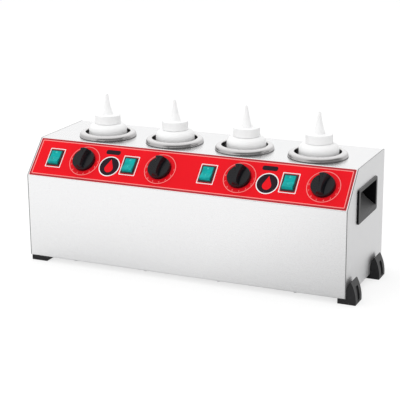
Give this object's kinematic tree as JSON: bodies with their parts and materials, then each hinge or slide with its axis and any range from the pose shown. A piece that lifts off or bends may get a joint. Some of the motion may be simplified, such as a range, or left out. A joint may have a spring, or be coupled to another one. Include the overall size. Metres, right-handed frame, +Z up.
{
  "type": "hot fudge topping warmer",
  "caption": "Countertop warmer: sloped control panel, heated wells in the deck and a squeeze bottle in each well.",
  "frame": {"origin": "middle of the footprint, on the counter under the feet", "axes": "+X along the length to the right as seen from the front, +Y to the rear, +Z up"},
  "size_m": [0.6202, 0.218, 0.2945],
  "materials": {
    "casing_steel": "satin",
    "well_steel": "polished",
    "overlay_film": "satin",
    "black_moulding": "matt",
    "foot_plastic": "matt",
    "knob_plastic": "satin",
    "switch_housing": "satin",
    "rocker_green": "gloss",
    "bottle_plastic": "translucent",
    "cap_plastic": "translucent",
    "gasket_rubber": "matt",
    "fastener_steel": "zinc",
    "heater_sheath": "satin",
    "thermostat_case": "satin",
    "copper_bulb": "satin",
    "terminal_plastic": "matt",
    "gland_plastic": "matt",
    "brass_stud": "satin",
    "loom_sleeve": "matt"
  },
  "bodies": {
    "casing": {"front_top_shell": "casing_steel", "rear_panel": "casing_steel", "left_side_panel": "casing_steel", "right_side_panel": "casing_steel", "base_plate": "casing_steel", "control_overlay": "overlay_film", "left_handle": "black_moulding", "right_handle": "black_moulding", "terminal_block": "terminal_plastic", "cable_gland": "gland_plastic", "gland_nut": "gland_plastic", "earth_stud": "brass_stud", "wiring_loom": "loom_sleeve", "base_screws": "fastener_steel", "rear_screws": "fastener_steel", "foot_screws": "fastener_steel", "heater_screws": "fastener_steel", "bushing_nuts": "fastener_steel", "well_gaskets": "gasket_rubber", "thermostat_bulbs": "copper_bulb", "foot_front_right": "foot_plastic", "foot_rear_right": "foot_plastic", "foot_front_left": "foot_plastic", "foot_rear_left": "foot_plastic", "well_1": "well_steel", "heater_band_1": "heater_sheath", "thermostat_1": "thermostat_case", "switch_body_1": "switch_housing", "well_2": "well_steel", "heater_band_2": "heater_sheath", "thermostat_2": "thermostat_case", "switch_body_2": "switch_housing", "well_3": "well_steel", "heater_band_3": "heater_sheath", "thermostat_3": "thermostat_case", "switch_body_3": "switch_housing", "well_4": "well_steel", "heater_band_4": "heater_sheath", "thermostat_4": "thermostat_case", "switch_body_4": "switch_housing"},
    "dial_1": {"knob_1": "knob_plastic", "thermostat_shaft_1": "fastener_steel"},
    "dial_2": {"knob_2": "knob_plastic", "thermostat_shaft_2": "fastener_steel"},
    "dial_3": {"knob_3": "knob_plastic", "thermostat_shaft_3": "fastener_steel"},
    "dial_4": {"knob_4": "knob_plastic", "thermostat_shaft_4": "fastener_steel"},
    "switch_rocker_1": {"rocker_1": "rocker_green"},
    "switch_rocker_2": {"rocker_2": "rocker_green"},
    "switch_rocker_3": {"rocker_3": "rocker_green"},
    "switch_rocker_4": {"rocker_4": "rocker_green"},
    "squeeze_bottle_1": {"bottle_1": "bottle_plastic"},
    "squeeze_bottle_2": {"bottle_2": "bottle_plastic"},
    "squeeze_bottle_3": {"bottle_3": "bottle_plastic"},
    "squeeze_bottle_4": {"bottle_4": "bottle_plastic"},
    "nozzle_cap_1": {"bottle_cap_1": "cap_plastic"},
    "nozzle_cap_2": {"bottle_cap_2": "cap_plastic"},
    "nozzle_cap_3": {"bottle_cap_3": "cap_plastic"},
    "nozzle_cap_4": {"bottle_cap_4": "cap_plastic"}
  },
  "joints": [
    {"name": "dial_1_turn", "type": "hinge", "parent": "casing", "child": "dial_1", "pos_m": [-0.20345, -0.08114, 0.18962], "axis": [0, 0.7226, -0.6912], "range_deg": [0, 285]},
    {"name": "dial_2_turn", "type": "hinge", "parent": "casing", "child": "dial_2", "pos_m": [-0.05475, -0.08114, 0.18962], "axis": [0, 0.7226, -0.6912], "range_deg": [0, 285]},
    {"name": "dial_3_turn", "type": "hinge", "parent": "casing", "child": "dial_3", "pos_m": [0.09395, -0.08114, 0.18962], "axis": [0, 0.7226, -0.6912], "range_deg": [0, 285]},
    {"name": "dial_4_turn", "type": "hinge", "parent": "casing", "child": "dial_4", "pos_m": [0.24265, -0.08114, 0.18962], "axis": [0, 0.7226, -0.6912], "range_deg": [0, 285]},
    {"name": "switch_1_tip", "type": "hinge", "parent": "casing", "child": "switch_rocker_1", "pos_m": [-0.26305, -0.0815, 0.18997], "axis": [1, 0, 0], "range_deg": [0, 20]},
    {"name": "switch_2_tip", "type": "hinge", "parent": "casing", "child": "switch_rocker_2", "pos_m": [-0.11435, -0.0815, 0.18997], "axis": [1, 0, 0], "range_deg": [0, 20]},
    {"name": "switch_3_tip", "type": "hinge", "parent": "casing", "child": "switch_rocker_3", "pos_m": [0.03435, -0.0815, 0.18997], "axis": [1, 0, 0], "range_deg": [0, 20]},
    {"name": "switch_4_tip", "type": "hinge", "parent": "casing", "child": "switch_rocker_4", "pos_m": [0.18305, -0.0815, 0.18997], "axis": [1, 0, 0], "range_deg": [0, 20]},
    {"name": "bottle_1_lift", "type": "slide", "parent": "casing", "child": "squeeze_bottle_1", "axis": [0, 0, 1], "range_m": [0, 0.2]},
    {"name": "bottle_2_lift", "type": "slide", "parent": "casing", "child": "squeeze_bottle_2", "axis": [0, 0, 1], "range_m": [0, 0.2]},
    {"name": "bottle_3_lift", "type": "slide", "parent": "casing", "child": "squeeze_bottle_3", "axis": [0, 0, 1], "range_m": [0, 0.2]},
    {"name": "bottle_4_lift", "type": "slide", "parent": "casing", "child": "squeeze_bottle_4", "axis": [0, 0, 1], "range_m": [0, 0.2]},
    {"name": "cap_1_lift", "type": "slide", "parent": "squeeze_bottle_1", "child": "nozzle_cap_1", "axis": [0, 0, 1], "range_m": [0, 0.06]},
    {"name": "cap_2_lift", "type": "slide", "parent": "squeeze_bottle_2", "child": "nozzle_cap_2", "axis": [0, 0, 1], "range_m": [0, 0.06]},
    {"name": "cap_3_lift", "type": "slide", "parent": "squeeze_bottle_3", "child": "nozzle_cap_3", "axis": [0, 0, 1], "range_m": [0, 0.06]},
    {"name": "cap_4_lift", "type": "slide", "parent": "squeeze_bottle_4", "child": "nozzle_cap_4", "axis": [0, 0, 1], "range_m": [0, 0.06]}
  ]
}
